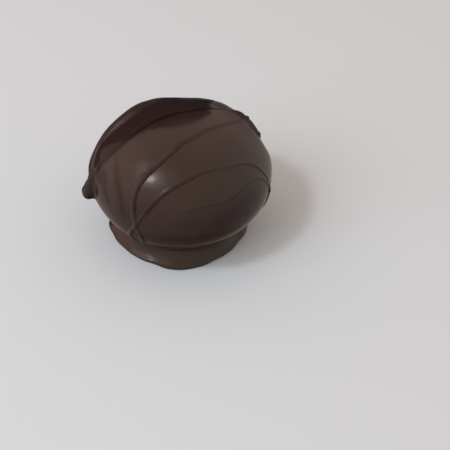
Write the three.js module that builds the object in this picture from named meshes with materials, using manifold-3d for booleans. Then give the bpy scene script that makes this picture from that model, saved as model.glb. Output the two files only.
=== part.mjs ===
// A round chocolate bonbon: a hand-rolled ball dipped in dark chocolate. The coat has run down into a small
// flat foot, and one thin strand of darker chocolate is drizzled over the ball in a zigzag that crosses
// itself in a little loop at every turn. At the left the loop has set as a drip that stands off the side.
// It is all one piece of chocolate, so it is one solid.
//
// Millimetres, +Z up. The origin is the centre of the flat base, the front faces -Y and the drip is at -X.

import * as THREE from 'three';
import { mergeVertices } from 'three/addons/utils/BufferGeometryUtils.js';
import Module from 'manifold-3d';

// ---- the dipped ball
const BALL_RADIUS = 28.0;     // widest radius
const EQUATOR_Z = 20.5;       // height of the widest point
const CROWN_RISE = 20.1;      // from the equator up to the crown
const CROWN_POWER = 2.25;     // 2 is an ellipse, more is a flatter crown
const BELLY_DROP = 19.0;      // from the equator down to the ball's lower pole
const SEGMENTS = 60;          // facets round the ball
const RINGS = 30;             // facets from the base to the crown

// ---- the foot that the coat has run into
const FOOT_RADIUS = 21.8;
const FOOT_HEIGHT = 2.4;
const FOOT_LIP = 1.2;         // how far the foot's edge is rounded
const FOOT_SLOPE = 0.5;       // millimetres the coat runs in for each millimetre that it rises above the foot
const FOOT_BLEND = 3.0;       // how softly the ball runs into the foot

// ---- hand-rolled unevenness: amplitude as a share of the radius, waves round the ball, phase in radians
const WAVES = [[0.006, 2, 0.7], [0.004, 3, -1.1], [0.0025, 5, 2.3]];

// ---- the drizzled strand
const STRAND_SIDES = 8;
const STRAND_STEP = 1.75;     // length of one facet along the strand
const FADE = 0.12;            // share of the first and last pass in which the strand thins out into the coat
const FADE_DEPTH = 1.35;      // how deep its end sinks into the coat

// The strand is laid out flat, as the nozzle went, with the ball's radius as the unit, and then draped. It
// starts low on the front, and its turns alternate between the right and the left side, each further round.
const TURN_AZ = [-99.6, -12.5, -113.5, 37.4, -156.5, 62.0, 165.0];   // degrees, counted from +X
const TURN_REACH = [1.17, 1.145, 1.13, 0.867, 1.04, 0.86, 1.1];      // distance of each turn from the middle
const LOOP_DEPTH = [0, 0.374, 0.436, 0.275, 0.24, 0.29, 0];          // how far each loop runs past its crossing
const LOOP_WIDTH = [0, 0.105, 0.113, 0.09, 0.07, 0.11, 0];           // half the width of each loop
const LOOP_SWING = [0, 6, -4.5, -78, 0, -52, 0];                     // degrees that each loop leans from straight down
const LOOP_CUT = [0, 0, 0, 0.045, 0, 0, 0];                          // share of the passes on both sides that each loop cuts short
// each pass between two turns: its bow, sway and third wave, the strand's radius, and how high its middle
// lies on the coat
const PASSES = [
  [-0.051, -0.016, 0.050, 0.60, -0.38],
  [-0.061, -0.033, -0.017, 0.70, -0.40],
  [-0.004, 0.070, -0.005, 0.85, -0.42],
  [0.032, -0.033, 0.026, 0.80, -0.50],
  [0.300, 0.020, 0.000, 0.80, -0.30],
  [-0.300, -0.010, 0.000, 0.75, -0.35],
];
const DRAPE_BEND = Math.PI / 3;   // polar angle past which the flat layout runs straight down the side

// ---- the drip at the left
const DRIP_AZ = -157.0;
const DRIP_Z = 21.2;
const DRIP_STANDOFF = 0.7;               // its centre, out from the coat
const DRIP_RADII = [1.95, 1.95, 3.0];    // outwards, sideways, upwards
const DRIP_LEAN = 0.35;                  // radians that its foot swings out

const deg = THREE.MathUtils.degToRad;

// ---------------------------------------------------------------- the coat as a surface
const smoothMax = (a, b, k) => {
  const h = THREE.MathUtils.clamp(0.5 + 0.5 * (a - b) / k, 0, 1);
  return b + (a - b) * h + k * h * (1 - h);
};

function ballRadius(z) {
  if (z >= EQUATOR_Z) {
    const t = Math.min((z - EQUATOR_Z) / CROWN_RISE, 1);
    return BALL_RADIUS * Math.pow(1 - Math.pow(t, CROWN_POWER), 1 / CROWN_POWER);
  }
  const t = Math.min((EQUATOR_Z - z) / BELLY_DROP, 1);
  return BALL_RADIUS * Math.sqrt(1 - t * t);
}

function footRadius(z) {
  const middle = 0.45 * FOOT_HEIGHT, half = 0.62 * FOOT_HEIGHT;
  const top = middle + half;
  if (z > top) return FOOT_RADIUS - FOOT_LIP - FOOT_SLOPE * (z - top);
  const t = Math.min(Math.abs(z - middle) / half, 1);
  return FOOT_RADIUS - FOOT_LIP + FOOT_LIP * Math.sqrt(1 - Math.pow(t, 2.2));
}

const profileRadius = (z) => smoothMax(ballRadius(z), footRadius(z), FOOT_BLEND);

function unevenness(az) {
  let k = 1;
  for (const [amplitude, waves, phase] of WAVES) k += amplitude * Math.sin(waves * az + phase);
  return k;
}

function coatPoint(az, z) {
  const r = profileRadius(z) * unevenness(az);
  return new THREE.Vector3(r * Math.cos(az), r * Math.sin(az), z);
}

function coatNormal(az, z) {
  const d = 0.05;
  const round = coatPoint(az + 0.002, z).sub(coatPoint(az - 0.002, z));
  const up = coatPoint(az, z + d).sub(coatPoint(az, z - d));
  return round.cross(up).normalize();
}

// From the flat layout to a place on the ball: straight down on the crown, then on round the side.
function drape(u, v, lift) {
  const reach = Math.hypot(u, v), az = Math.atan2(v, u), bend = Math.sin(DRAPE_BEND);
  const polar = reach <= bend ? Math.asin(reach) : DRAPE_BEND + (reach - bend) / Math.cos(DRAPE_BEND);
  const c = Math.cos(polar);
  const z = c >= 0 ? EQUATOR_Z + CROWN_RISE * Math.pow(c, 2 / CROWN_POWER) : EQUATOR_Z + BELLY_DROP * c;
  return coatPoint(az, z).addScaledVector(coatNormal(az, z), lift);
}

// ---------------------------------------------------------------- solids
const wasm = await Module();
wasm.setup();

function toSolid(geometry) {
  const g = geometry.clone();
  g.deleteAttribute('normal');
  g.deleteAttribute('uv');
  const m = mergeVertices(g, 1e-4);
  return new wasm.Manifold(new wasm.Mesh({
    numProp: 3,
    vertProperties: new Float32Array(m.attributes.position.array),
    triVerts: new Uint32Array(m.index.array),
  }));
}

function toGeometry(solid) {
  const mesh = solid.getMesh();
  const g = new THREE.BufferGeometry();
  g.setAttribute('position', new THREE.BufferAttribute(new Float32Array(mesh.vertProperties), 3));
  g.setIndex(new THREE.BufferAttribute(new Uint32Array(mesh.triVerts), 1));
  g.computeVertexNormals();
  return g;
}

// The ball and its foot: a turned profile, then made a little uneven round its axis.
function makeBody() {
  const profile = [new THREE.Vector2(0, 0), new THREE.Vector2(profileRadius(0), 0)];
  const top = EQUATOR_Z + CROWN_RISE;
  for (let i = 1; i < RINGS; i++) {
    const s = i / RINGS;
    const z = top * (0.5 - 0.5 * Math.cos(Math.PI * s));
    profile.push(new THREE.Vector2(profileRadius(z), z));
  }
  profile.push(new THREE.Vector2(0, top));
  const g = new THREE.LatheGeometry(profile, SEGMENTS);
  g.rotateX(Math.PI / 2);
  const p = g.attributes.position;
  for (let i = 0; i < p.count; i++) {
    const x = p.getX(i), y = p.getY(i), k = unevenness(Math.atan2(y, x));
    p.setXY(i, x * k, y * k);
  }
  return g;
}

// Where the strand turns, in the flat layout.
const turns = TURN_REACH.map((reach, i) => {
  const az = deg(TURN_AZ[i]);
  return { az, at: new THREE.Vector2(reach * Math.cos(az), reach * Math.sin(az)) };
});

function passPoint(i, s) {
  const a = turns[i].at, b = turns[i + 1].at, [bow, sway, third] = PASSES[i];
  const along = b.clone().sub(a), side = new THREE.Vector2(-along.y, along.x).normalize();
  const off = bow * 4 * s * (1 - s)
    + sway * (Math.sin(2 * Math.PI * s) + 0.5 * Math.sin(4 * Math.PI * s))
    + third * Math.sin(3 * Math.PI * s);
  return a.clone().addScaledVector(along, s).addScaledVector(side, off);
}

// A loop at turn i: t = 0 where the strand arrives at the crossing, t = 1 where it leaves it again.
function loopPoint(i, t) {
  const { az, at } = turns[i], swing = deg(LOOP_SWING[i]), c = Math.cos(swing), s = Math.sin(swing);
  // down the side of the ball the draping makes the flat layout longer
  const down = new THREE.Vector2(Math.cos(az), Math.sin(az)).multiplyScalar(Math.cos(DRAPE_BEND));
  const round = new THREE.Vector2(-Math.sin(az), Math.cos(az));
  const out = down.clone().multiplyScalar(c).addScaledVector(round, s);
  const across = round.clone().multiplyScalar(c).addScaledVector(down, -s);
  const way = Math.sign(at.clone().sub(turns[i - 1].at).dot(across));
  return passPoint(i - 1, 1 - LOOP_CUT[i]).lerp(passPoint(i, LOOP_CUT[i]), 0.5)
    .addScaledVector(out, LOOP_DEPTH[i] * Math.sin(Math.PI * t))
    .addScaledVector(across, way * LOOP_WIDTH[i] * Math.sin(2 * Math.PI * t));
}

// One pass of the strand with half of the loop at each of its ends, as a round bar along its path.
function makePass(i) {
  const last = PASSES.length - 1, flat = [], radius = PASSES[i][3], lift = PASSES[i][4];
  if (i > 0) for (let k = 0; k < 7; k++) flat.push([loopPoint(i, 0.47 + 0.53 * k / 7), lift]);
  for (let k = 0; k <= 20; k++) {
    const s = THREE.MathUtils.lerp(LOOP_CUT[i], 1 - LOOP_CUT[i + 1], k / 20);
    let fade = 0;
    if (i === 0) fade = Math.max(0, 1 - s / FADE);
    if (i === last) fade = Math.max(0, 1 - (1 - s) / FADE);
    flat.push([passPoint(i, s), lift - (FADE_DEPTH + lift) * fade]);
  }
  if (i < last) for (let k = 1; k <= 7; k++) flat.push([loopPoint(i + 1, 0.53 * k / 7), lift]);

  const path = new THREE.CatmullRomCurve3(flat.map(([p, up]) => drape(p.x, p.y, up)), false, 'centripetal');
  const section = [];
  for (let k = 0; k < STRAND_SIDES; k++) {
    const a = 2 * Math.PI * (k + 0.5) / STRAND_SIDES;
    section.push(new THREE.Vector2(radius * Math.cos(a), radius * Math.sin(a)));
  }
  return new THREE.ExtrudeGeometry(new THREE.Shape(section), {
    steps: Math.round(path.getLength() / STRAND_STEP), bevelEnabled: false, extrudePath: path,
  });
}

function makeDrip() {
  const az = deg(DRIP_AZ), normal = coatNormal(az, DRIP_Z);
  const g = new THREE.SphereGeometry(1, 16, 12);
  g.scale(...DRIP_RADII);
  g.rotateY(DRIP_LEAN);
  g.rotateZ(az);
  const at = coatPoint(az, DRIP_Z).addScaledVector(normal, DRIP_STANDOFF);
  g.translate(at.x, at.y, at.z);
  return g;
}

let solid = toSolid(makeBody());
for (let i = 0; i < PASSES.length; i++) solid = solid.add(toSolid(makePass(i)));
solid = solid.add(toSolid(makeDrip()));

const chocolate = new THREE.MeshStandardMaterial({ color: 0x3d2620, roughness: 0.35, metalness: 0 });
const bonbon = new THREE.Mesh(toGeometry(solid), chocolate);
bonbon.name = 'bonbon';

const group = new THREE.Group();
group.add(bonbon);

export default group;
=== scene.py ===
import math

import bpy
import numpy as np
from mathutils import Matrix


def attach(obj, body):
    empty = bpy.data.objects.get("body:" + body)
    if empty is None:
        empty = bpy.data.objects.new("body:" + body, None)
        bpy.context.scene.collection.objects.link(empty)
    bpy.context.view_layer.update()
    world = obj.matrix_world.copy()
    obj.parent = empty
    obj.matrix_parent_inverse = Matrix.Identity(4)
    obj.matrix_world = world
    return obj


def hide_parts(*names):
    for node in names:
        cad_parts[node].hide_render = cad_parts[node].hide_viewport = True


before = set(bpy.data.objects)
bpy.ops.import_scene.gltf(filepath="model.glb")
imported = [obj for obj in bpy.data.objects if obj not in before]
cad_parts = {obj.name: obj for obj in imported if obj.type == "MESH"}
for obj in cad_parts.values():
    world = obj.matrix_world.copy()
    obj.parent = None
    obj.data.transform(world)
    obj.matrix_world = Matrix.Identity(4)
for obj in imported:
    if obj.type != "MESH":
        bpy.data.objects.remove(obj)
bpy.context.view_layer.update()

# A round chocolate bonbon: a hand-rolled ball dipped in dark chocolate, standing on the foot that the coat has run
# into, with one strand of darker chocolate drizzled over it and a drip set at its left side. The surface is worked out
# as a field of distances in millimetres, in which the pieces melt into each other as set chocolate does, and is then
# meshed as one closed skin, finer along the strand.

MM = 0.001

# ------------------------------------------------------------------------------------------------ sizes, millimetres
# the dipped ball
BALL_RADIUS = 28.0
EQUATOR_Z = 20.5
CROWN_RISE = 20.1
CROWN_POWER = 2.25
BELLY_DROP = 19.0
# the foot that the coat has run into
FOOT_RADIUS = 21.8
FOOT_LIP_Z = 0.95
FOOT_TUCK = 0.6
FOOT_RUNOUT = 2.4
FOOT_RISE = 1.35
FOOT_BLEND = 3.4
# how unevenly it has run out: height in mm, waves, phase
FOOT_WAVES = ((0.34, 3, 0.4), (0.26, 5, 2.1), (0.17, 8, 1.0), (0.10, 13, 4.0), (0.05, 21, 0.3))
FOOT_RUN = (-172.0, 16.0, 1.1)   # where it has run out furthest: azimuth, half width in degrees, how far
# hand-rolled unevenness round the axis: share of the radius, waves, phase
WAVES = ((0.006, 2, 0.7), (0.004, 3, -1.1), (0.0025, 5, 2.3))
# shallow dents (-) and swells (+) of the hand-rolled ball: azimuth, height, radius, depth
DENTS = (
    (-150.5, 15.4, 8.5, -0.72), (168.0, 29.0, 8.0, -0.60), (90.0, 36.0, 9.0, -0.80), (41.0, 33.0, 4.5, 0.18), (17.5, 28.1, 3.4, -0.55),
    (59.0, 34.4, 4.2, 0.50), (153.0, 32.5, 4.5, -0.35), (-174.0, 23.8, 5.0, 0.32), (131.0, 34.7, 4.0, 0.28), (8.0, 25.3, 5.0, 0.28),
)
# the drizzled strand, laid out flat with the ball's radius as the unit, then draped
TURN_AZ = (-99.6, -12.5, -113.5, 37.4, -156.5, 62.0, 165.0)
TURN_REACH = (1.17, 1.145, 1.13, 0.867, 1.04, 0.86, 1.1)
LOOP_DEPTH = (0, 0.374, 0.436, 0.275, 0.24, 0.29, 0)
LOOP_WIDTH = (0, 0.105, 0.113, 0.09, 0.07, 0.11, 0)
LOOP_SWING = (0, 6, -4.5, -78, 0, -52, 0)         # degrees from straight down
LOOP_CUT = (0, 0, 0, 0.045, 0, 0, 0)              # share of the passes on both sides that each loop cuts short
LOOP_EASE = (1.4, 1.4, 1.4, 2.2, 1.4, 2.0, 1.4)   # how widely the strand bends where it runs into each loop, in mm
LOOP_THIN = (0, 0, 0, 0.5, 0, 0, 0)               # share of its height that the strand loses towards each loop's tip
# each pass: bow, sway, third wave, then at places along it the strand's width and height, how much darker it is than
# the coat, and how far it has slumped to its front side
PASSES = (
    (-0.051, -0.016, 0.050, ((0.0, 0.4, 0.00, 0.0, 0), (0.30, 0.8, 0.07, 0.20, 0), (0.6, 1.0, 0.12, 0.30, 0), (0.9, 1.1, 0.20, 0.35, 0), (1.0, 1.3, 0.30, 0.8, 0))),
    (-0.061, -0.033, -0.017, ((0.0, 1.3, 0.34, 0.8, 0), (0.10, 1.2, 0.22, 0.30, 0), (0.40, 1.2, 0.20, 0.35, 0), (0.6, 1.3, 0.26, 0.7, 0), (0.8, 1.45, 0.20, 0.9, 0), (0.88, 1.5, 0.26, 0.85, 0), (0.93, 1.5, 0.32, 0.3, 0), (1.0, 1.6, 0.36, 0.0, 0))),
    (-0.004, 0.070, -0.005, ((0.0, 1.6, 0.36, 0.0, 0), (0.03, 1.7, 0.38, 0.15, 0.1), (0.065, 1.9, 0.46, 0.9, 0.35), (0.10, 2.2, 0.48, 1.0, 0.50), (0.20, 2.3, 0.48, 1.0, 0.6), (0.33, 2.2, 0.44, 1.0, 0.60), (0.40, 2.1, 0.20, 0.85, 0.42), (0.48, 2.0, 0.07, 0.70, 0.20), (0.56, 1.8, 0.035, 0.60, 0), (0.70, 1.8, 0.025, 0.65, 0), (0.87, 1.5, 0.04, 0.55, 0), (0.92, 1.5, 0.26, 0.7, 0), (0.955, 1.8, 0.84, 1.0, 0))),
    (0.032, -0.033, 0.026, ((0.045, 1.85, 0.88, 1.0, 0), (0.07, 1.8, 0.78, 0.95, 0), (0.10, 1.7, 0.60, 0.9, 0), (0.15, 1.5, 0.22, 0.9, 0), (0.20, 1.7, 0.03, 1.0, 0), (0.70, 1.7, 0.015, 1.0, 0), (0.80, 1.8, 0.02, 0.85, 0), (0.90, 2.1, 0.05, 0.75, 0.1), (0.95, 2.4, 0.16, 0.6, 0.3), (1.0, 2.4, 0.40, 0.5, 0.3))),
    (0.300, 0.020, 0.000, ((0.0, 1.9, 0.60, 0.5, 0), (0.3, 1.8, 0.60, 0.35, 0), (0.6, 1.6, 0.40, 0.5, 0), (0.8, 1.5, 0.26, 0.6, 0), (1.0, 1.6, 0.36, 0.7, 0))),
    (-0.300, -0.010, 0.000, ((0.0, 1.6, 0.42, 0.8, 0), (0.75, 1.4, 0.30, 0.8, 0), (0.9, 1.1, 0.18, 0.6, 0), (1.0, 0.5, 0.00, 0.0, 0))),
)
# small breaks in the strand: pass, place along it, share of its height lost there, half length
NICKS = ((2, 0.208, 0.85, 0.35), (2, 0.376, 0.50, 0.40), (3, 0.857, 0.45, 0.5), (1, 0.577, 0.30, 0.5), (4, 0.306, 0.4, 0.5), (5, 0.4, 0.4, 0.5))
# where the strand has slid sideways: pass, place along it, half length, millimetres to its front side
SLIDES = ((1, 0.66, 0.085, -0.66), (2, 0.13, 0.05, -0.20), (2, 0.27, 0.09, 0.68), (2, 0.44, 0.05, -0.65), (2, 0.68, 0.10, 0.55), (3, 0.50, 0.45, -0.45), (3, 0.90, 0.08, -0.35))
DRAPE_BEND = math.pi / 3
STRAND_STEP = 0.45       # spacing of the samples along the strand
STRAND_SHOULDER = 2.3    # how full the strand's cross-section is
STRAND_MELT = 0.07       # how softly its edges run into the coat
# the drip at the left: height, stand-off from the coat, radius, from its root to its tip
DRIP_AZ = -157.0
DRIP = ((28.2, -0.15, 0.85), (25.5, -0.1, 1.2), (23.1, 0.2, 1.6), (21.1, 0.75, 1.95), (20.1, 0.95, 1.8))
DRIP_MELT = 0.9
# soft folds of the coat at the left, along places given as azimuth and height: height, half width and the strength of
# the shade painted along each
FOLDS = (
    (((-147.0, 34.8), (-140.1, 33.5), (-135.5, 32.3), (-131.8, 30.9), (-128.5, 29.4), (-125.9, 27.9), (-123.6, 26.0), (-121.3, 23.0), (-120.0, 20.5)), -0.16, 1.05, 0.85),
    (((-148.0, 30.6), (-143.2, 28.4), (-140.7, 27.2), (-138.2, 25.9), (-135.3, 24.7), (-132.0, 22.7), (-129.5, 20.5)), -0.14, 0.95, 0.65),
)
# the burst bubble at the front also gets a dark spot of painted shade in the colour mask
SEEN_PITS = ((-57.7, 32.9),)   # a burst bubble at the front: azimuth, height
PITS = 18                # tiny burst bubbles in the coat
GRID = 0.45              # spacing of the grid that the skin is drawn from

rng = np.random.default_rng(20)

# ------------------------------------------------------------------------------------------------ the coat


def smooth_max(a, b, k):
    h = np.clip(0.5 + 0.5 * (a - b) / k, 0.0, 1.0)
    return b + (a - b) * h + k * h * (1.0 - h)


def smooth_min(a, b, k):
    return -smooth_max(-a, -b, k)


def ball_radius(z):
    up = np.clip((z - EQUATOR_Z) / CROWN_RISE, 0.0, 1.0)
    down = np.clip((EQUATOR_Z - z) / BELLY_DROP, 0.0, 1.0)
    top = (1.0 - up ** CROWN_POWER) ** (1.0 / CROWN_POWER)
    return BALL_RADIUS * np.where(z >= EQUATOR_Z, top, np.sqrt(1.0 - down * down))


def foot_radius(z, run=1.0):
    """The skirt that the coat has run into: a rounded edge, thinning out upwards in a hollow curve."""
    t = np.clip((FOOT_LIP_Z - z) / FOOT_LIP_Z, 0.0, 1.0)
    edge = FOOT_RADIUS - FOOT_TUCK * (1.0 - np.sqrt(1.0 - t * t))
    u = np.maximum(z - FOOT_LIP_Z, 0.0) / (FOOT_RISE * run)
    fall = 0.2 * np.maximum(z - FOOT_LIP_Z, 0.0) + 2.0 * np.maximum(z - 8.0, 0.0)
    return edge - FOOT_RUNOUT * (1.0 - np.exp(-u * u / (0.55 + u))) - fall


def foot_wave(az):
    w = np.zeros_like(az)
    for height, waves, phase in FOOT_WAVES:
        w = w + height * np.sin(waves * az + phase)
    away = (az - math.radians(FOOT_RUN[0]) + math.pi) % (2 * math.pi) - math.pi
    return w + FOOT_RUN[2] * np.exp(-(away / math.radians(FOOT_RUN[1])) ** 2)


def profile_radius(z, az=0.0):
    near = np.clip((7.5 - z) / 6.0, 0.0, 1.0)
    near = near * near * (3 - 2 * near)
    run = 1.0 + 0.30 * np.sin(4 * az + 1.3) + 0.15 * np.sin(7 * az)
    return smooth_max(ball_radius(z), foot_radius(z, run) + near * foot_wave(az), FOOT_BLEND)


def unevenness(az):
    k = np.ones_like(az)
    for amplitude, waves, phase in WAVES:
        k = k + amplitude * np.sin(waves * az + phase)
    return k


# slow swells of the coat: direction, wave length and height of each
SWELLS = []
for length, height in ((34, 0.10), (27, 0.08), (21, 0.07), (16, 0.05), (12, 0.035), (9, 0.02), (7, 0.012)):
    d = rng.normal(size=3)
    SWELLS.append((d / np.linalg.norm(d) * 2 * math.pi / length, rng.uniform(0, 2 * math.pi), height))


def coat_distance(p):
    """Distance from the bare coat: ball, foot and flat base."""
    x, y, z = p[:, 0], p[:, 1], p[:, 2]
    az = np.arctan2(y, x)
    rho = np.hypot(x, y) / unevenness(az)
    # crown: a flattened ellipse
    a, t = np.maximum(rho / BALL_RADIUS, 1e-6), np.maximum(np.abs(z - EQUATOR_Z) / CROWN_RISE, 1e-6)
    n = (a ** CROWN_POWER + t ** CROWN_POWER) ** (1.0 / CROWN_POWER)
    s = n ** (1.0 - CROWN_POWER)
    upper = (n - 1.0) / np.hypot(s * a ** (CROWN_POWER - 1.0) / BALL_RADIUS, s * t ** (CROWN_POWER - 1.0) / CROWN_RISE)
    # belly and foot: a turned profile
    zc = np.clip(z, 0.02, EQUATOR_Z)
    r = profile_radius(zc, az)
    slope = (profile_radius(zc + 0.02, az) - profile_radius(zc - 0.02, az)) / 0.04
    lower = (rho - r) / np.sqrt(1.0 + np.clip(slope, -6.0, 6.0) ** 2)
    d = np.where(z >= EQUATOR_Z, upper, lower)
    wave = np.zeros_like(d)
    for k, phase, height in SWELLS:
        wave += height * np.sin(p @ k + phase)
    for c, radius, height in dents:
        wave -= height * np.exp(-((p - c) ** 2).sum(1) / radius ** 2)
    return d + wave


def coat_place(az, z, lift=0.0):
    """A place on the coat, at that azimuth and height, moved out along the normal."""
    az, z = np.asarray(az, float), np.asarray(z, float)

    def at(a, h):
        r = profile_radius(h, a) * unevenness(a)
        return np.stack([r * np.cos(a), r * np.sin(a), h], -1)

    round_, up = at(az + 0.002, z) - at(az - 0.002, z), at(az, z + 0.03) - at(az, z - 0.03)
    n = np.cross(round_, up)
    n /= np.linalg.norm(n, axis=-1, keepdims=True)
    return at(az, z) + n * np.asarray(lift)[..., None]


dents = [(coat_place(math.radians(az), z), radius, height) for az, z, radius, height in DENTS]


def onto_coat(p):
    for _ in range(4):
        d = coat_distance(p)
        g = np.stack([(coat_distance(p + o) - coat_distance(p - o)) / 0.06 for o in 0.03 * np.eye(3)], 1)
        p = p - (d / np.maximum((g * g).sum(1), 0.2))[:, None] * g
    return p


def drape(uv, lift):
    """From the flat layout to the ball: straight down on the crown, then on round the side."""
    reach, az = np.hypot(uv[:, 0], uv[:, 1]), np.arctan2(uv[:, 1], uv[:, 0])
    bend = math.sin(DRAPE_BEND)
    polar = np.where(reach <= bend, np.arcsin(np.clip(reach, 0, bend)), DRAPE_BEND + (reach - bend) / math.cos(DRAPE_BEND))
    c = np.cos(polar)
    z = np.where(c >= 0, EQUATOR_Z + CROWN_RISE * np.abs(c) ** (2 / CROWN_POWER), EQUATOR_Z + BELLY_DROP * c)
    z = np.minimum(z, EQUATOR_Z + CROWN_RISE - 0.05)
    return coat_place(az, z, lift)


# ------------------------------------------------------------------------------------------------ the strand
turn_az = [math.radians(a) for a in TURN_AZ]
turn_at = [np.array((r * math.cos(a), r * math.sin(a))) for r, a in zip(TURN_REACH, turn_az)]


def pass_line(i, s):
    a, b = turn_at[i], turn_at[i + 1]
    bow, sway, third = PASSES[i][:3]
    along = b - a
    side = np.array((-along[1], along[0])) / np.linalg.norm(along)
    off = bow * 4 * s * (1 - s) + sway * (np.sin(2 * math.pi * s) + 0.5 * np.sin(4 * math.pi * s)) + third * np.sin(3 * math.pi * s)
    return a + np.outer(s, along) + np.outer(off, side)


def loop_line(i, t):
    """The loop at a turn; down the side of the ball the draping makes the flat layout longer."""
    swing, longer = math.radians(LOOP_SWING[i]), 1 / math.cos(DRAPE_BEND)
    down = np.array((math.cos(turn_az[i]), math.sin(turn_az[i]))) / longer
    round_ = np.array((-math.sin(turn_az[i]), math.cos(turn_az[i])))
    out, across = math.cos(swing) * down + math.sin(swing) * round_, math.cos(swing) * round_ - math.sin(swing) * down
    way = np.sign((turn_at[i] - turn_at[i - 1]) @ across)
    at = 0.5 * (pass_line(i - 1, np.array([1 - LOOP_CUT[i]])) + pass_line(i, np.array([LOOP_CUT[i]])))
    return at + np.outer(LOOP_DEPTH[i] * np.sin(math.pi * t), out) + np.outer(way * LOOP_WIDTH[i] * np.sin(2 * math.pi * t), across)


def even_steps(line, step):
    d = np.concatenate([[0.0], np.cumsum(np.linalg.norm(np.diff(line, axis=0), axis=1))])
    n = max(2, int(round(d[-1] / step)) + 1)
    at = np.linspace(0, d[-1], n)
    return np.stack([np.interp(at, d, line[:, k]) for k in range(line.shape[1])], 1), at


def blur(values, sigma):
    """Gaussian smoothing along a line with its ends held."""
    n = max(1, int(3 * sigma))
    w = np.exp(-0.5 * (np.arange(-n, n + 1) / sigma) ** 2)
    w /= w.sum()
    ext = np.concatenate([2 * values[:1] - values[n:0:-1], values, 2 * values[-1:] - values[-2:-n - 2:-1]])
    return np.stack([np.convolve(ext[:, k], w, "valid") for k in range(values.shape[1])], 1)


def make_strands():
    """Each pass with half of the loop at each of its ends: its middle line on the coat, and there its half
    width to the back and to the front, height, darkness and slump."""
    strands = []
    last = len(PASSES) - 1
    for i in range(len(PASSES)):
        table = np.array(PASSES[i][3])
        s = np.linspace(LOOP_CUT[i], 1 - LOOP_CUT[i + 1], 160)
        parts, places = [pass_line(i, s)], [s]
        if i > 0:
            parts.insert(0, loop_line(i, np.linspace(0.45, 1.0, 40))[:-1])
            places.insert(0, np.full(39, s[0]))
        if i < last:
            parts.append(loop_line(i + 1, np.linspace(0.0, 0.55, 40))[1:])
            places.append(np.full(39, s[-1]))
        line, at = even_steps(np.column_stack([np.concatenate(parts), 0.0001 * np.concatenate(places)]), STRAND_STEP / BALL_RADIUS)
        flat, place = blur(line[:, :2], 1.4 / STRAND_STEP), line[:, 2] / 0.0001
        at = at * BALL_RADIUS
        for turn, joint in ((i, at[place <= s[0] + 1e-6][-1]), (i + 1, at[place >= s[-1] - 1e-6][0])):
            bend = np.exp(-((at - joint) / (1.6 * LOOP_EASE[turn])) ** 2)[:, None]
            flat = flat + bend * (blur(line[:, :2], LOOP_EASE[turn] / STRAND_STEP) - flat)
        width, height, dark, slump = (np.interp(place, table[:, 0], table[:, k]) for k in (1, 2, 3, 4))
        for turn, joint, tip in ((i, at[place <= s[0] + 1e-6][-1], at[0]), (i + 1, at[place >= s[-1] - 1e-6][0], at[-1])):
            if LOOP_THIN[turn]:
                height = height * (1 - LOOP_THIN[turn] * np.clip((at - joint) / (tip - joint), 0.0, 1.0))
        # hand-laid: the strand swells and thins a little, and pools where it turns
        swell = np.ones(len(at))
        for length, amount in ((23.0, 0.07), (11.0, 0.06), (6.1, 0.045), (3.7, 0.025)):
            swell += amount * np.sin(2 * math.pi * at / length + rng.uniform(0, 2 * math.pi))
        if i > 0:
            swell += 0.15 * np.exp(-((at - at[0]) / 5.0) ** 2)
        if i < last:
            swell += 0.15 * np.exp(-((at[-1] - at) / 5.0) ** 2)
        width, height = width * swell, height * swell
        for which, where, loss, half in NICKS:
            if which == i:
                step = (at - np.interp(where, place, at)) / half
                height *= 1 - loss * np.exp(-step ** 2) + 0.35 * loss * np.exp(-(step - 2.0) ** 2)
                width *= 1 - 0.4 * loss * np.exp(-step ** 2)
        middle = onto_coat(drape(flat, np.zeros(len(flat))))
        slide = np.zeros(len(at))
        for which, where, half, amount in SLIDES:
            if which == i:
                slide += amount * np.exp(-((place - where) / half) ** 2)
        front = np.cross(np.gradient(middle, axis=0), middle - np.array((0, 0, EQUATOR_Z)))
        middle = onto_coat(middle + slide[:, None] * front / np.linalg.norm(front, axis=1, keepdims=True))
        strands.append((middle, np.stack([0.5 * width * (1 + slump), 0.5 * width * (1 - slump), height, dark, slump], 1)))
    return strands


strands = make_strands()

# ------------------------------------------------------------------------------------------------ the field on a grid
low = np.array((-32.6, -30.6, -0.85))
high = np.array((30.8, 30.8, 43.2))
shape = np.ceil((high - low) / GRID).astype(int) + 1
axes = [low[k] + GRID * np.arange(shape[k]) for k in range(3)]
FAR = 9.0


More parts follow.
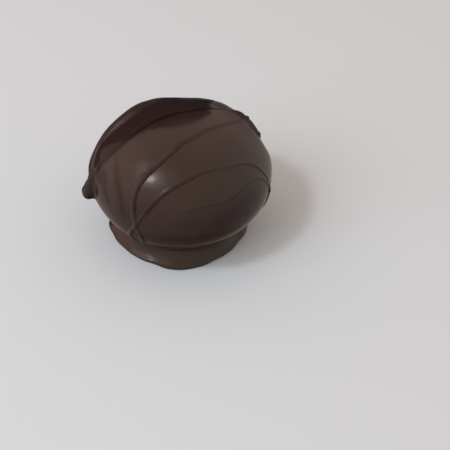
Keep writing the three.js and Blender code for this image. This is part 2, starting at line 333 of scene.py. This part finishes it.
class Bundle:
    """Several passes that don't touch each other, as one set of segments lying on the coat."""

    def __init__(self, lines):
        self.a = np.concatenate([pts[:-1] for pts, _ in lines])
        self.ab = np.concatenate([pts[1:] - pts[:-1] for pts, _ in lines])
        self.start = np.concatenate([form[:-1] for _, form in lines])
        self.change = np.concatenate([form[1:] - form[:-1] for _, form in lines])
        self.len2 = (self.ab ** 2).sum(1)
        self.grid = np.full(tuple(shape), FAR, np.float32)
        self.near = np.zeros(tuple(shape), np.int16)
        reach = 2.6
        for i in range(len(self.a)):
            m = self.a[i] + 0.5 * self.ab[i]
            lo = np.maximum(((m - reach - low) / GRID).astype(int), 0)
            hi = np.minimum(((m + reach - low) / GRID).astype(int) + 2, shape)
            block = tuple(slice(lo[k], hi[k]) for k in range(3))
            x = axes[0][block[0]][:, None, None] - self.a[i, 0]
            y = axes[1][block[1]][None, :, None] - self.a[i, 1]
            z = axes[2][block[2]][None, None, :] - self.a[i, 2]
            u = self.ab[i]
            t = np.clip((x * u[0] + y * u[1] + z * u[2]) / self.len2[i], 0, 1)
            d = np.sqrt((x - t * u[0]) ** 2 + (y - t * u[1]) ** 2 + (z - t * u[2]) ** 2)
            g, near = self.grid[block], self.near[block]
            closer = d < g
            g[closer] = d[closer]
            near[closer] = i

    def at(self, p, coat):
        """Sideways distance from the strand's middle line as a share of its half width; its height, how much that side
        leans, and its darkness there."""
        g = np.clip(np.rint((p - low) / GRID).astype(int), 0, shape - 1)
        share, height, lean, dark = np.full(len(p), FAR), np.zeros(len(p)), np.zeros(len(p)), np.zeros(len(p))
        sel = np.nonzero(self.grid[g[:, 0], g[:, 1], g[:, 2]] < 2.4)[0]
        if not len(sel):
            return share, height, lean, dark
        q = p[sel]
        out = q - np.array((0, 0, EQUATOR_Z))
        first = self.near[g[sel, 0], g[sel, 1], g[sel, 2]].astype(int)
        best, form, front = np.full(len(sel), FAR * FAR), np.ones((len(sel), 5)), np.zeros(len(sel), bool)
        for step in range(-3, 4):
            j = np.clip(first + step, 0, len(self.a) - 1)
            v, u = q - self.a[j], self.ab[j]
            t = np.clip((v * u).sum(1) / self.len2[j], 0, 1)
            w = v - t[:, None] * u
            d = (w ** 2).sum(1)
            closer = d < best
            best = np.where(closer, d, best)
            form[closer] = (self.start[j] + t[:, None] * self.change[j])[closer]
            front[closer] = ((np.cross(u, out) * w).sum(1) > 0)[closer]
        half = np.where(front, form[:, 1], form[:, 0])
        share[sel] = np.sqrt(np.maximum(best - coat[sel] ** 2, 0.0)) / half
        height[sel], dark[sel] = form[:, 2], form[:, 3]
        lean[sel] = np.where(front, 0.0, np.minimum(2.0 * form[:, 4], 1.0))
        return share, height, lean, dark


even, odd = Bundle(strands[0::2]), Bundle(strands[1::2])


def ridge(share, height, lean):
    share = np.minimum(share, 4.0)
    # where it is low it has sunk in and is flat on top, and where it is lowest it is flush
    flat = 4.0 * np.clip((0.26 - height) / 0.16, 0.0, 1.0) * np.clip((height - 0.03) / 0.06, 0.0, 1.0)
    full, drawn = 1.0 - share ** (STRAND_SHOULDER + flat), 1.0 - share
    b = height * (full + lean * (drawn - full))
    return smooth_max(b, np.zeros_like(b), STRAND_MELT * np.clip(height / 0.1, 0.15, 1.0))


def strand_height(p, coat):
    """How far the strand stands out of the coat; where it crosses itself it rides up."""
    a, b = ridge(*even.at(p, coat)[:3]), ridge(*odd.at(p, coat)[:3])
    return np.maximum(a, b) + 0.7 * np.minimum(a, b)


drip_az = math.radians(DRIP_AZ)
drip_points = np.array([coat_place(drip_az, z, off) for z, off, _ in DRIP])
drip_radii = np.array([r for _, _, r in DRIP])


def drip_distance(p):
    d = np.full(len(p), FAR)
    sel = np.nonzero(np.linalg.norm(p - drip_points.mean(0), axis=1) < 11.0)[0]
    q = p[sel]
    best = np.full(len(sel), FAR)
    for i in range(len(DRIP) - 1):
        u = drip_points[i + 1] - drip_points[i]
        t = np.clip(((q - drip_points[i]) @ u) / (u @ u), 0, 1)
        e = np.linalg.norm(q - drip_points[i] - t[:, None] * u, axis=1) - (drip_radii[i] + t * (drip_radii[i + 1] - drip_radii[i]))
        best = smooth_min(best, e, 0.8)
    d[sel] = best
    return d


fold_lines = []
for places, height, width, dark in FOLDS:
    places = np.array(places)
    t = np.linspace(0, len(places) - 1, 16)
    az, z = (np.interp(t, np.arange(len(places)), places[:, k]) for k in (0, 1))
    fold_lines.append((coat_place(np.radians(az), z), height, width, dark))


def fold_height(p):
    """How far the folds stand out of the coat, and the shade painted along them."""
    h, shade = np.zeros(len(p)), np.zeros(len(p))
    sel = np.nonzero((p[:, 0] < -4) & (p[:, 1] < 4) & (p[:, 2] > 12))[0]
    q = p[sel]
    for pts, height, width, dark in fold_lines:
        best, where = np.full(len(sel), 1e9), np.zeros(len(sel))
        m = len(pts) - 1
        for i in range(m):
            u = pts[i + 1] - pts[i]
            t = np.clip(((q - pts[i]) @ u) / (u @ u), 0, 1)
            e = ((q - pts[i] - t[:, None] * u) ** 2).sum(1)
            closer = e < best
            best = np.where(closer, e, best)
            where = np.where(closer, (i + t) / m, where)
        near = np.exp(-best / width ** 2) * np.sin(math.pi * np.clip(where, 0, 1)) ** 0.6
        h[sel] += height * near
        shade[sel] = np.maximum(shade[sel], dark * near)
    return h, shade


pit_at, pit_size, pit_depth = [], [0.5] * len(SEEN_PITS), [0.09] * len(SEEN_PITS)
while len(pit_at) < PITS:
    d = rng.normal(size=3)
    d /= np.linalg.norm(d)
    if d[2] < -0.5 or d @ np.array((-0.22, -0.83, 0.51)) > 0.93:
        continue
    pit_at.append(d)
    pit_size.append(rng.uniform(0.28, 0.55))
    pit_depth.append(rng.uniform(0.03, 0.09))


def to_coat(direction):
    """Where a ray from the ball's middle leaves the coat."""
    a, b = 5.0, 40.0
    for _ in range(40):
        m = 0.5 * (a + b)
        inside = coat_distance((np.array((0, 0, EQUATOR_Z)) + m * direction)[None])[0] < 0
        a, b = (m, b) if inside else (a, m)
    return np.array((0, 0, EQUATOR_Z)) + a * direction


pit_at = np.array([coat_place(math.radians(az), z) for az, z in SEEN_PITS] + [to_coat(d) for d in pit_at])


def pit_depth_at(p):
    h = np.zeros(len(p))
    for c, size, depth in zip(pit_at, pit_size, pit_depth):
        sel = np.nonzero((np.abs(p - c) < 3 * size).all(1))[0]
        r2 = ((p[sel] - c) ** 2).sum(1) / size ** 2
        h[sel] += depth * (np.exp(-r2) - 0.25 * np.exp(-(np.sqrt(r2) - 1.5) ** 2 * 3.0))
    return h


def skin(p):
    """Signed distance from the finished surface, for points near it."""
    coat = coat_distance(p)
    d = coat - fold_height(p)[0] + pit_depth_at(p) - strand_height(p, coat)
    d = smooth_min(d, drip_distance(p), DRIP_MELT)
    return smooth_max(d, -p[:, 2], 0.25)


# ------------------------------------------------------------------------------------------------ the skin as a mesh
def draw_skin():
    field = np.full(tuple(shape), FAR, np.float32)
    for i in range(shape[0]):
        y, z = np.meshgrid(axes[1], axes[2], indexing="ij")
        p = np.stack([np.full(y.size, axes[0][i]), y.ravel(), z.ravel()], 1)
        coat = coat_distance(p)
        close = np.abs(coat) < 4.5
        value = coat.copy()
        q = p[close]
        value[close] = skin(q)
        value = np.maximum(value, -p[:, 2])
        field[i] = value.reshape(shape[1], shape[2])
    inside = field < 0

    # one vertex in each cell that the surface passes through
    nx, ny, nz = (shape - 1).tolist()
    total = np.zeros((nx, ny, nz), np.int8)
    corners = [(a, b, c) for a in (0, 1) for b in (0, 1) for c in (0, 1)]
    for a, b, c in corners:
        total += inside[a:a + nx, b:b + ny, c:c + nz]
    cells = np.argwhere((total > 0) & (total < 8))
    number = np.full((nx, ny, nz), -1, np.int64)
    number[cells[:, 0], cells[:, 1], cells[:, 2]] = np.arange(len(cells))
    value = {k: field[cells[:, 0] + k[0], cells[:, 1] + k[1], cells[:, 2] + k[2]].astype(float) for k in corners}
    summed, count = np.zeros((len(cells), 3)), np.zeros(len(cells))
    for k in corners:
        for axis in range(3):
            if k[axis]:
                continue
            other = tuple(1 if m == axis else k[m] for m in range(3))
            va, vb = value[k], value[other]
            cross = (va < 0) != (vb < 0)
            t = np.where(cross, va / np.where(cross, va - vb, 1.0), 0.0)
            at = np.tile(np.array(k, float), (len(cells), 1))
            at[:, axis] = t
            summed += at * cross[:, None]
            count += cross
    points = low + GRID * (cells + summed / count[:, None])

    # one quad round each grid edge that the surface crosses
    quads = []
    for axis in range(3):
        u, v = (axis + 1) % 3, (axis + 2) % 3
        here = [slice(None)] * 3
        there = [slice(None)] * 3
        here[axis], there[axis] = slice(0, -1), slice(1, None)
        change = inside[tuple(here)] != inside[tuple(there)]
        e = np.argwhere(change)
        ok = (e[:, u] > 0) & (e[:, v] > 0) & (e[:, u] < shape[u] - 1) & (e[:, v] < shape[v] - 1)
        e = e[ok]
        ring = []
        for du, dv in ((-1, -1), (0, -1), (0, 0), (-1, 0)):
            c = e.copy()
            c[:, u] += du
            c[:, v] += dv
            ring.append(number[c[:, 0], c[:, 1], c[:, 2]])
        q = np.stack(ring, 1)
        starts_inside = inside[tuple(e.T)]
        q[~starts_inside] = q[~starts_inside][:, ::-1]
        quads.append(q)
    return points, np.concatenate(quads)


def gradient(p, step=0.04):
    g = np.empty_like(p)
    for k in range(3):
        o = np.zeros(3)
        o[k] = step
        g[:, k] = (skin(p + o) - skin(p - o)) / (2 * step)
    return g


def settle(p, rounds):
    """Moves the vertices onto the surface."""
    for _ in range(rounds):
        d, g = skin(p), gradient(p)
        move = (d / np.maximum((g * g).sum(1), 0.2))[:, None] * g
        size = np.linalg.norm(move, axis=1, keepdims=True)
        p = p - move * np.minimum(1.0, 0.12 / np.maximum(size, 1e-9))
    return p


def relax(p, tris, share):
    """Evens out the faces: each vertex moves along the surface towards the middle of its neighbours."""
    total, n = np.zeros_like(p), np.zeros(len(p))
    for i, j in ((0, 1), (1, 2), (2, 0), (1, 0), (2, 1), (0, 2)):
        for k in range(3):
            total[:, k] += np.bincount(tris[:, i], p[tris[:, j], k], len(p))
        n += np.bincount(tris[:, i], minlength=len(p))
    return p + share * (total / n[:, None] - p)


def cut_quads(p, quads):
    """Each quad as two triangles along its shorter diagonal."""
    short = np.linalg.norm(p[quads[:, 0]] - p[quads[:, 2]], axis=1) <= np.linalg.norm(p[quads[:, 1]] - p[quads[:, 3]], axis=1)
    one = np.where(short[:, None], quads[:, [0, 1, 2]], quads[:, [0, 1, 3]])
    two = np.where(short[:, None], quads[:, [0, 2, 3]], quads[:, [1, 2, 3]])
    return np.concatenate([one, two])


def refine(p, tris, marked):
    """Cuts each marked triangle into four, and its neighbours so that no edge is left open."""
    edges = np.sort(np.concatenate([tris[:, [0, 1]], tris[:, [1, 2]], tris[:, [2, 0]]]), axis=1)
    unique, which = np.unique(edges, axis=0, return_inverse=True)
    which = which.reshape(3, -1).T
    split = np.zeros(len(unique), bool)
    split[which[marked].ravel()] = True
    middle = np.full(len(unique), -1)
    middle[split] = len(p) + np.arange(split.sum())
    p = np.concatenate([p, 0.5 * (p[unique[split, 0]] + p[unique[split, 1]])])
    cut = split[which]
    count = cut.sum(1)
    done = [tris[count == 0]]
    t, m = tris[count == 3], middle[which[count == 3]]
    done += [np.stack([t[:, 0], m[:, 0], m[:, 2]], 1), np.stack([t[:, 1], m[:, 1], m[:, 0]], 1), np.stack([t[:, 2], m[:, 2], m[:, 1]], 1), m]
    for k in range(3):
        a, b, c = k, (k + 1) % 3, (k + 2) % 3
        sel = (count == 1) & cut[:, k]
        t, m = tris[sel], middle[which[sel]]
        done += [np.stack([t[:, a], m[:, k], t[:, c]], 1), np.stack([m[:, k], t[:, b], t[:, c]], 1)]
        sel = (count == 2) & ~cut[:, k]
        t, m = tris[sel], middle[which[sel]]
        done += [np.stack([m[:, b], t[:, c], m[:, c]], 1), np.stack([t[:, a], t[:, b], m[:, b]], 1), np.stack([t[:, a], m[:, b], m[:, c]], 1)]
    return p, np.concatenate(done)


points, quads = draw_skin()
points = settle(points, 1)
faces = cut_quads(points, quads)
points = relax(points, faces, 0.5)
points = settle(points, 2)
coat = coat_distance(points)
fine = np.minimum(even.at(points, coat)[0] * 0.75, odd.at(points, coat)[0] * 0.75) < 1.25
fine |= np.abs(drip_distance(points)) < 0.7
fine |= np.array([(np.linalg.norm(points - c, axis=1) < 2.2 * size) for c, size in zip(pit_at, pit_size)]).any(0)
points, faces = refine(points, faces, fine[faces].any(1))
points = settle(points, 1)
points = relax(points, faces, 0.4)
points = settle(points, 1)
points = relax(points, faces, 0.3)
points = settle(points, 3)
points[:, 2] = np.maximum(points[:, 2], 0.0)

mesh = bpy.data.meshes.new("bonbon_skin")
mesh.vertices.add(len(points))
mesh.vertices.foreach_set("co", (points * MM).astype(np.float32).ravel())
mesh.loops.add(len(faces) * 3)
mesh.loops.foreach_set("vertex_index", faces.astype(np.int32).ravel())
mesh.polygons.add(len(faces))
mesh.polygons.foreach_set("loop_start", np.arange(0, len(faces) * 3, 3, dtype=np.int32))
mesh.polygons.foreach_set("use_smooth", np.ones(len(faces), bool))
mesh.update(calc_edges=True)
mesh.validate()

# where the darker chocolate of the strand and the drip lies, and where shade is painted along the folds and into the
# burst bubble at the front
coat = coat_distance(points)
darker_chocolate_and_painted_shade = np.zeros(len(points))
for bundle in (even, odd):
    share, tall, lean, dark = bundle.at(points, coat)
    edge = np.clip((1.1 - 0.1 * lean - share) / (0.45 + 0.65 * lean), 0.0, 1.0)
    darker_chocolate_and_painted_shade = np.maximum(darker_chocolate_and_painted_shade, dark * edge * edge * (3 - 2 * edge))
edge = np.clip((coat - drip_distance(points)) / 0.5 + 0.3, 0.0, 1.0)
darker_chocolate_and_painted_shade = np.maximum(darker_chocolate_and_painted_shade, 0.04 * edge * edge * (3 - 2 * edge))
# painted shade along the grooves of the folds at the left
darker_chocolate_and_painted_shade = np.maximum(darker_chocolate_and_painted_shade, fold_height(points)[1])
# painted shade: a dark spot in the burst bubble at the front
for c, size in zip(pit_at[:len(SEEN_PITS)], pit_size):
    darker_chocolate_and_painted_shade = np.maximum(darker_chocolate_and_painted_shade, 0.6 * np.exp(-((points - c) ** 2).sum(1) / size ** 2))
# the strand attribute holds the strand's darker chocolate and also the painted shade of the folds and the burst bubble
layer = mesh.attributes.new("strand", "FLOAT", "POINT")
layer.data.foreach_set("value", darker_chocolate_and_painted_shade.astype(np.float32))

bonbon = bpy.data.objects.new("bonbon_skin", mesh)
bpy.context.scene.collection.objects.link(bonbon)


# ------------------------------------------------------------------------------------------------ chocolate
def node(tree, kind, at, **values):
    n = tree.nodes.new(kind)
    n.location = at
    for name, value in values.items():
        setattr(n, name, value)
    return n


def ramp(tree, at, stops, interpolation="LINEAR"):
    n = node(tree, "ShaderNodeValToRGB", at)
    n.color_ramp.interpolation = interpolation
    while len(n.color_ramp.elements) < len(stops):
        n.color_ramp.elements.new(0.5)
    for e, (place, colour) in zip(n.color_ramp.elements, stops):
        e.position = place
        e.color = (*colour, 1.0) if len(colour) == 3 else colour
    return n


def noise(tree, at, where, scale, detail, rough=0.5, distortion=0.0):
    n = node(tree, "ShaderNodeTexNoise", at)
    n.inputs["Scale"].default_value = scale
    n.inputs["Detail"].default_value = detail
    n.inputs["Roughness"].default_value = rough
    n.inputs["Distortion"].default_value = distortion
    tree.links.new(where, n.inputs["Vector"])
    return n


def chocolate():
    m = bpy.data.materials.new("dark_chocolate")
    m.use_nodes = True
    t = m.node_tree
    t.nodes.clear()
    out = node(t, "ShaderNodeOutputMaterial", (900, 0))
    bsdf = node(t, "ShaderNodeBsdfPrincipled", (600, 0))
    t.links.new(bsdf.outputs["BSDF"], out.inputs["Surface"])
    place = node(t, "ShaderNodeTexCoord", (-1400, 0)).outputs["Object"]

    # colour: cloudy patches of slightly lighter and darker cocoa, the strand a little darker, and painted shade along
    # the folds and in the burst bubble, all from the strand attribute
    cloud = noise(t, (-1100, 420), place, 70.0, 5.0, 0.6, 0.3)
    fine = noise(t, (-1100, 180), place, 420.0, 4.0, 0.6)
    both = node(t, "ShaderNodeMath", (-880, 320), operation="MULTIPLY_ADD")
    t.links.new(fine.outputs["Fac"], both.inputs[0])
    both.inputs[1].default_value = 0.35
    t.links.new(cloud.outputs["Fac"], both.inputs[2])
    body = ramp(t, (-660, 320), ((0.40, (0.0243, 0.0128, 0.0108)), (0.95, (0.0323, 0.0171, 0.0146))))
    t.links.new(both.outputs[0], body.inputs["Fac"])
    # the strand attribute also carries painted shade along the folds and in the burst bubble at the front
    strand = node(t, "ShaderNodeAttribute", (-660, 620), attribute_name="strand")
    mix = node(t, "ShaderNodeMix", (-260, 360), data_type="RGBA", blend_type="MULTIPLY")
    t.links.new(strand.outputs["Fac"], mix.inputs["Factor"])
    t.links.new(body.outputs["Color"], mix.inputs[6])
    mix.inputs[7].default_value = (0.42, 0.40, 0.42, 1.0)
    t.links.new(mix.outputs[2], bsdf.inputs["Base Color"])

    # gloss: smooth, with faint duller clouds
    dull = noise(t, (-1100, -100), place, 150.0, 5.0, 0.65, 0.4)
    rough = node(t, "ShaderNodeMapRange", (-660, -100))
    rough.inputs["From Min"].default_value = 0.30
    rough.inputs["From Max"].default_value = 0.72
    rough.inputs["To Min"].default_value = 0.13
    rough.inputs["To Max"].default_value = 0.20
    t.links.new(dull.outputs["Fac"], rough.inputs["Value"])
    duller = node(t, "ShaderNodeMath", (-260, -100), operation="MULTIPLY_ADD")
    t.links.new(strand.outputs["Fac"], duller.inputs[0])
    duller.inputs[1].default_value = 0.05
    t.links.new(rough.outputs["Result"], duller.inputs[2])
    t.links.new(duller.outputs[0], bsdf.inputs["Roughness"])
    sheen = node(t, "ShaderNodeMapRange", (-260, -280))
    sheen.inputs["To Min"].default_value = 0.45
    sheen.inputs["To Max"].default_value = 0.08
    t.links.new(strand.outputs["Fac"], sheen.inputs["Value"])
    t.links.new(sheen.outputs["Result"], bsdf.inputs["Coat Weight"])

    # fine relief of the set coat
    swell = noise(t, (-1100, -380), place, 260.0, 3.0, 0.5)
    grain = noise(t, (-1100, -620), place, 1900.0, 3.0, 0.55)
    relief = node(t, "ShaderNodeMath", (-660, -480), operation="MULTIPLY_ADD")
    t.links.new(grain.outputs["Fac"], relief.inputs[0])
    relief.inputs[1].default_value = 0.10
    t.links.new(swell.outputs["Fac"], relief.inputs[2])
    bump = node(t, "ShaderNodeBump", (200, -420))
    bump.inputs["Strength"].default_value = 0.16
    bump.inputs["Distance"].default_value = 0.00022
    t.links.new(relief.outputs[0], bump.inputs["Height"])
    t.links.new(bump.outputs["Normal"], bsdf.inputs["Normal"])

    bsdf.inputs["IOR"].default_value = 1.43
    bsdf.inputs["Coat Roughness"].default_value = 0.06
    bsdf.inputs["Coat IOR"].default_value = 1.46
    return m


bonbon.data.materials.append(chocolate())
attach(bonbon, "root")
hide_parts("bonbon")

# ------------------------------------------------------------------------------------------------ stage
scene = bpy.context.scene
bpy.ops.mesh.primitive_plane_add(size=80.0, location=(0, 0, 0))
floor = bpy.context.object
floor.name = "floor"
fm = bpy.data.materials.new("pale_floor")
fm.use_nodes = True
fb = fm.node_tree.nodes["Principled BSDF"]
fb.inputs["Base Color"].default_value = (0.685, 0.787, 0.868, 1.0)
fb.inputs["Roughness"].default_value = 0.55
fb.inputs["Specular IOR Level"].default_value = 0.0
floor.data.materials.append(fm)
floor.visible_glossy = False

world = bpy.data.worlds.new("studio")
scene.world = world
world.use_nodes = True
wt = world.node_tree
bg = wt.nodes["Background"]
heading = node(wt, "ShaderNodeTexCoord", (-800, 0))
split = node(wt, "ShaderNodeSeparateXYZ", (-600, 0))
wt.links.new(heading.outputs["Generated"], split.inputs[0])
height = node(wt, "ShaderNodeMapRange", (-400, 0))
height.inputs["From Min"].default_value = -1.0
height.inputs["From Max"].default_value = 1.0
wt.links.new(split.outputs["Z"], height.inputs["Value"])
room = ramp(wt, (-200, 0), ((0.0, (0.14, 0.108, 0.095)), (0.06, (0.18, 0.14, 0.125)), (0.13, (0.30, 0.245, 0.22)), (0.36, (0.415, 0.343, 0.308)), (0.50, (0.51, 0.415, 0.363)), (0.62, (0.58, 0.468, 0.395)), (1.0, (0.60, 0.468, 0.38))))
wt.links.new(height.outputs["Result"], room.inputs["Fac"])
light = room.outputs["Color"]


def heading_at(az, el):
    az, el = math.radians(az), math.radians(el)
    return (math.cos(az) * math.cos(el), math.sin(az) * math.cos(el), math.sin(el))


# broad brighter (+) and dimmer (-) parts of the room: azimuth, elevation, narrowness, colour
for i, (az, el, power, colour) in enumerate((
        (172.0, 26.0, 4.0, (0.36, 0.205, 0.205)),
        (-174.0, 53.0, 110.0, (0.56, 0.45, 0.40)),
        (60.0, 45.0, 6.0, (0.07, 0.02, 0.025)),
        (15.0, 15.0, 3.0, (0.0, 0.06, 0.08)),
        (-38.0, -35.0, 3.0, (-0.15, -0.11, -0.085)),
        (71.0, 3.0, 14.0, (-0.25, -0.24, -0.20)),
        (159.0, -5.0, 40.0, (-0.55, -0.42, -0.38)),
        (136.0, -17.0, 60.0, (-0.32, -0.26, -0.23)),
        (84.0, -8.0, 90.0, (-0.25, -0.17, -0.135)))):
    toward = node(wt, "ShaderNodeVectorMath", (-600, -300 - 300 * i), operation="DOT_PRODUCT")
    wt.links.new(heading.outputs["Generated"], toward.inputs[0])
    toward.inputs[1].default_value = heading_at(az, el)
    ahead = node(wt, "ShaderNodeMath", (-420, -300 - 300 * i), operation="MAXIMUM")
    wt.links.new(toward.outputs["Value"], ahead.inputs[0])
    ahead.inputs[1].default_value = 0.0
    lobe = node(wt, "ShaderNodeMath", (-260, -300 - 300 * i), operation="POWER")
    wt.links.new(ahead.outputs[0], lobe.inputs[0])
    lobe.inputs[1].default_value = power
    tint = node(wt, "ShaderNodeVectorMath", (-100, -300 - 300 * i), operation="SCALE")
    tint.inputs[0].default_value = colour
    wt.links.new(lobe.outputs[0], tint.inputs["Scale"])
    added = node(wt, "ShaderNodeVectorMath", (60, -300 - 300 * i), operation="ADD")
    wt.links.new(light, added.inputs[0])
    wt.links.new(tint.outputs[0], added.inputs[1])
    light = added.outputs[0]
wt.links.new(light, bg.inputs["Color"])
bg.inputs["Strength"].default_value = 1.0


def aim(o, target=(0.0, 0.0, 0.02)):
    d = np.array(target) - np.array(o.location)
    d /= np.linalg.norm(d)
    z = -d
    x = np.cross((0, 0, 1), z)
    x = x / np.linalg.norm(x) if np.linalg.norm(x) > 1e-6 else np.array((1.0, 0, 0))
    y = np.cross(z, x)
    o.matrix_world = Matrix(((x[0], y[0], z[0], o.location[0]), (x[1], y[1], z[1], o.location[1]), (x[2], y[2], z[2], o.location[2]), (0, 0, 0, 1)))


def area(name, at, size, power, colour=(1, 1, 1), shape="DISK"):
    light = bpy.data.lights.new(name, "AREA")
    light.shape = shape
    light.size = size
    light.energy = power
    light.color = colour
    o = bpy.data.objects.new(name, light)
    scene.collection.objects.link(o)
    o.location = at
    aim(o)
    return o


lamp_at = np.array((0.0, 0.0, 0.03)) + 0.8 * np.array(heading_at(-140.7, 53.1))
lamp = area("lamp", lamp_at.tolist(), 0.12, 1.2)
lamp.visible_glossy = False
soft = area("soft", (-0.96, -0.75, 0.79), 1.2, 7.4, (0.97, 1.0, 1.03))
soft.visible_glossy = False

# the lamp as the gloss shows it: a small bright middle in a wide faint glow
m = bpy.data.meshes.new("lamp_glow")
m.from_pydata([(-0.48, -0.48, 0), (0.48, -0.48, 0), (0.48, 0.48, 0), (-0.48, 0.48, 0)], [], [(0, 1, 2, 3)])
glow_card = bpy.data.objects.new("lamp_glow", m)
scene.collection.objects.link(glow_card)
glow_card.location = lamp_at.tolist()
aim(glow_card)
mat = bpy.data.materials.new("lamp_glow")
mat.use_nodes = True
t = mat.node_tree
t.nodes.clear()
where = node(t, "ShaderNodeTexCoord", (-900, 0))
far = node(t, "ShaderNodeVectorMath", (-700, 0), operation="LENGTH")
t.links.new(where.outputs["Object"], far.inputs[0])
share_out = node(t, "ShaderNodeMath", (-540, 0), operation="DIVIDE")
t.links.new(far.outputs["Value"], share_out.inputs[0])
share_out.inputs[1].default_value = 0.47
fade = ramp(t, (-380, 0), ((0.0, (1.0, 1.0, 1.0)), (0.09, (0.95, 0.95, 0.95)), (0.17, (0.24, 0.24, 0.24)), (0.30, (0.11, 0.11, 0.11)), (0.55, (0.025, 0.025, 0.025)), (1.0, (0.0, 0.0, 0.0))), "EASE")
t.links.new(share_out.outputs[0], fade.inputs["Fac"])
shine = node(t, "ShaderNodeEmission", (-60, 0))
t.links.new(fade.outputs["Color"], shine.inputs["Color"])
shine.inputs["Strength"].default_value = 7.0
clear = node(t, "ShaderNodeBsdfTransparent", (-60, -160))
joined = node(t, "ShaderNodeAddShader", (140, 0))
t.links.new(shine.outputs[0], joined.inputs[0])
t.links.new(clear.outputs[0], joined.inputs[1])
t.links.new(joined.outputs[0], node(t, "ShaderNodeOutputMaterial", (320, 0)).inputs["Surface"])
m.materials.append(mat)
glow_card.visible_camera = glow_card.visible_diffuse = glow_card.visible_shadow = glow_card.visible_transmission = glow_card.visible_volume_scatter = False


def card(name, corners, shade, away=0.9):
    """A matt card that is seen only in reflections: corners as azimuth and elevation from the bonbon."""
    middle = math.radians(sum(c[0] for c in corners) / len(corners))
    verts = []
    for az, el in corners:
        a = math.radians(az)
        reach = away / math.cos(a - middle)
        verts.append((reach * math.cos(a), reach * math.sin(a), 0.038 + reach * math.tan(math.radians(el))))
    m = bpy.data.meshes.new(name)
    m.from_pydata(verts, [], [list(range(len(verts)))])
    o = bpy.data.objects.new(name, m)
    scene.collection.objects.link(o)
    mat = bpy.data.materials.new(name)
    mat.use_nodes = True
    t = mat.node_tree
    t.nodes.clear()
    glow = node(t, "ShaderNodeEmission", (0, 0))
    glow.inputs["Color"].default_value = (*shade, 1.0)
    t.links.new(glow.outputs[0], node(t, "ShaderNodeOutputMaterial", (200, 0)).inputs["Surface"])
    m.materials.append(mat)
    o.visible_camera = o.visible_diffuse = o.visible_shadow = o.visible_transmission = o.visible_volume_scatter = False
    return o


card("dark_card", ((88.5, -22), (86.5, -2), (82, 11), (81.4, 20.6), (83.2, 27.2), (86, 33), (90, 38.6), (94, 41.4), (100, 43.6), (108, 42), (116, 41), (124, 42), (133, 41.5),
                   (142, 38), (146, 28), (149.5, 18), (153, 9), (154, 0), (152, -8), (148, -15), (141, -22), (134, -24), (132.5, -18), (132.5, -9), (130, -4),
                   (125.5, 4.5), (119.5, 8), (114.5, 8), (110.5, 5), (105, 0), (101, -6), (99.5, -12), (99, -22)), (0.012, 0.015, 0.024))
card("dim_card", ((138, 37), (146, 37), (153, 32), (157, 26), (158.5, 17), (157, 6), (152, -1), (140, -1)), (0.235, 0.19, 0.177), 1.0)
card("strip_card", ((96, 11), (111.5, 11), (111.5, -34), (96, -34)), (0.058, 0.051, 0.05), 1.0)
card("strip_card_middle", ((111.5, 11), (117.5, 11), (117.5, -34), (111.5, -34)), (0.15, 0.135, 0.13), 1.0)
card("strip_card_left", ((117.5, 11), (130, 11), (130, -25), (117.5, -25)), (0.285, 0.258, 0.25), 1.0)
card("low_card", ((112, -25), (143, -25), (143, -35), (112, -35)), (0.075, 0.066, 0.064), 1.0)

# the camera looks at the bonbon from the front, about 39 degrees above it, as the photograph does
ELEVATION, ROLL, FOCAL = math.radians(42.0), math.radians(3.0), 850.0
forward = np.array((0.0, math.cos(ELEVATION), -math.sin(ELEVATION)))
right = np.array((1.0, 0.0, 0.0))
down = np.cross(forward, right)
rows = np.array((right * math.cos(ROLL) - down * math.sin(ROLL), right * math.sin(ROLL) + down * math.cos(ROLL), forward))
depth = FOCAL * 28.0 / 90.3
offset = np.array(((180.6 - 225) / FOCAL, (173.2 - 225) / FOCAL, 1.0)) * depth - rows @ np.array((0.0, 0.0, 20.5))
eye = -rows.T @ offset * MM
camera = bpy.data.cameras.new("camera")
camera.sensor_width = 36.0
camera.lens = 36.0 * FOCAL / 450.0
camera.clip_start = 0.01
view = bpy.data.objects.new("camera", camera)
scene.collection.objects.link(view)
cx, cy, cz = rows[0], -rows[1], -rows[2]
view.matrix_world = Matrix(((cx[0], cy[0], cz[0], eye[0]), (cx[1], cy[1], cz[1], eye[1]), (cx[2], cy[2], cz[2], eye[2]), (0, 0, 0, 1)))
scene.camera = view
scene.view_settings.view_transform = "Standard"
